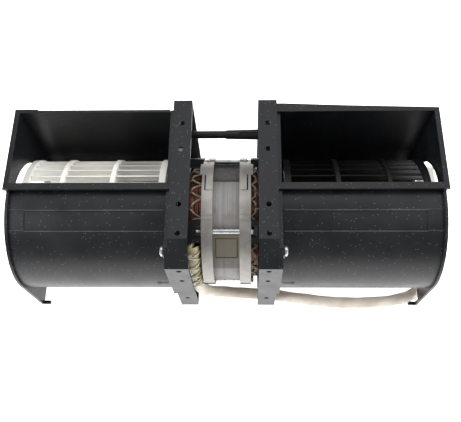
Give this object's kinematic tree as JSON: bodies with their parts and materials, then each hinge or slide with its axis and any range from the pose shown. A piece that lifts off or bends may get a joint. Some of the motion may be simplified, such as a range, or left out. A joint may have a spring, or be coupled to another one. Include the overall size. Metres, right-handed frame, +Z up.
{
  "type": "twin-outlet centrifugal blower",
  "caption": "Motor between two black scroll housings, each with a blade wheel, an outlet on the same side, an end-wall air inlet, and a sleeved lead with a connector.",
  "frame": {"origin": "on the resting plane, under the middle of the case, with the lead left out of the box", "axes": "+X along the shaft, from the white wheel's side to the black wheel's side; +Y from the front face, where the lead runs, to the back; +Z up, the way the outlets face"},
  "size_m": [0.359, 0.1385, 0.1194],
  "materials": {
    "black_plastic": "satin moulded plastic with a fine grain",
    "white_wheel_plastic": "moulded off-white plastic",
    "black_wheel_plastic": "moulded black plastic",
    "lamination_steel": "stacked laminations, satin",
    "bracket_steel": "stamped steel, satin grey",
    "zinc_steel": "bright zinc plate",
    "shaft_steel": "ground",
    "cast_aluminium": "die cast",
    "enamelled_copper": "red-brown enamelled winding wire",
    "lacing_cord": "waxed cord",
    "insulation_film": "translucent yellowed film and tape",
    "sleeve_braid": "cream braided sleeving",
    "wire_insulation": "coloured wire insulation",
    "connector_nylon": "natural nylon",
    "sintered_bronze": "oil-filled bronze",
    "oil_felt": "oiled felt",
    "washer_fibre": "hard fibre",
    "spring_steel": "spring steel"
  },
  "bodies": {
    "housing": {"left_motor_plate": "black_plastic", "right_motor_plate": "black_plastic", "left_scroll_housing": "black_plastic", "right_scroll_housing": "black_plastic", "stator_core": "lamination_steel", "stator_winding": "enamelled_copper", "left_coil_lacing": "lacing_cord", "right_coil_lacing": "lacing_cord", "coil_wrap": "insulation_film", "left_end_bracket": "bracket_steel", "right_end_bracket": "bracket_steel", "left_bearing": "sintered_bronze", "right_bearing": "sintered_bronze", "left_bearing_retainer": "spring_steel", "right_bearing_retainer": "spring_steel", "left_oil_felt": "oil_felt", "right_oil_felt": "oil_felt", "through_bolts": "zinc_steel", "left_housing_screws": "zinc_steel", "right_housing_screws": "zinc_steel", "lead_sleeve": "sleeve_braid", "lead_wires": "wire_insulation", "lead_connector": "connector_nylon"},
    "rotor": {"shaft": "shaft_steel", "rotor_core": "lamination_steel", "rotor_cage": "cast_aluminium", "left_impeller_blades": "white_wheel_plastic", "left_impeller_rings": "white_wheel_plastic", "left_impeller_hub": "white_wheel_plastic", "right_impeller_blades": "black_wheel_plastic", "right_impeller_rings": "black_wheel_plastic", "right_impeller_hub": "black_wheel_plastic", "left_hub_clip": "spring_steel", "right_hub_clip": "spring_steel", "left_thrust_washer": "washer_fibre", "right_thrust_washer": "washer_fibre"}
  },
  "joints": [
    {"name": "rotor_spin", "type": "hinge", "parent": "housing", "child": "rotor", "pos_m": [0, -0.01025, 0.056], "axis": [1, 0, 0], "continuous": true}
  ]
}
